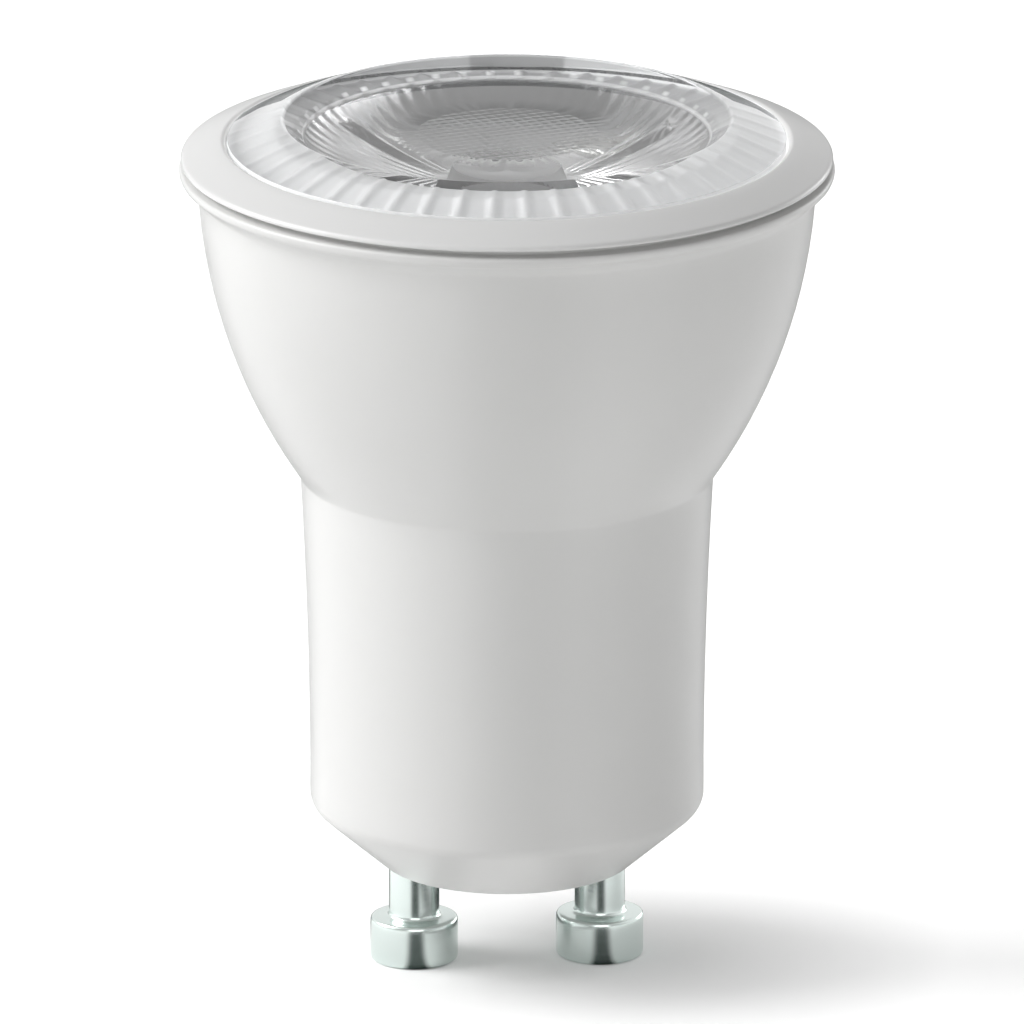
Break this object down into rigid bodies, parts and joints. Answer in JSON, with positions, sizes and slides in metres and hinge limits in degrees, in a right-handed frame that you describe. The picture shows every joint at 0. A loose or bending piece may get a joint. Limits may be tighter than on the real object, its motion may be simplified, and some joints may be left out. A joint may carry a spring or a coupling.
{
  "type": "led spot bulb",
  "caption": "White reflector-style LED spot bulb with a bowl-shaped head, ribbed clear lens and a narrow neck ending in a two-pin twist-lock base.",
  "frame": {"origin": "midway between the two contact pins, at their lower ends", "axes": "+Z along the lamp's axis towards the lens, X through the two pins"},
  "size_m": [0.035, 0.035, 0.0469],
  "materials": {
    "white_shell": "satin, fine moulded texture",
    "white_bezel": "satin",
    "clear_lens": "clear moulded plastic, polished",
    "cup_metal": "drawn sheet, bare",
    "pad_grey": "matt",
    "light_board_white": "white solder mask on aluminium",
    "package_ceramic": "matt",
    "phosphor": "cast, glossy",
    "screw_steel": "plated",
    "lead_red": "insulation",
    "lead_black": "insulation",
    "lead_brown": "insulation",
    "lead_blue": "insulation",
    "driver_board_green": "solder mask on glass-fibre board",
    "can_sleeve": "shrunk sleeve",
    "ferrite": "matt",
    "copper_wire": "enamelled copper",
    "resistor_body": "lacquered",
    "chip_black": "moulded",
    "chip_resistor_body": "glazed top",
    "chip_capacitor_body": "matt",
    "pin_metal": "nickel plated, turned"
  },
  "bodies": {
    "root": {"housing": "white_shell", "bezel_ring": "white_bezel", "lens": "clear_lens", "heat_sink_cup": "cup_metal", "thermal_pad": "pad_grey", "led_board": "light_board_white", "led_package": "package_ceramic", "led_phosphor": "phosphor", "board_screws": "screw_steel", "driver_board": "driver_board_green", "bulk_capacitor": "can_sleeve", "output_capacitor": "can_sleeve", "choke_core": "ferrite", "choke_winding": "copper_wire", "fuse_resistor": "resistor_body", "bridge_rectifier": "chip_black", "driver_chip": "chip_black", "freewheel_diode": "chip_black", "chip_resistors": "chip_resistor_body", "chip_capacitors": "chip_capacitor_body", "contact_pin_left": "pin_metal", "contact_pin_right": "pin_metal", "mains_lead_left": "lead_brown", "mains_lead_right": "lead_blue", "led_lead_positive": "lead_red", "led_lead_negative": "lead_black"}
  },
  "joints": []
}
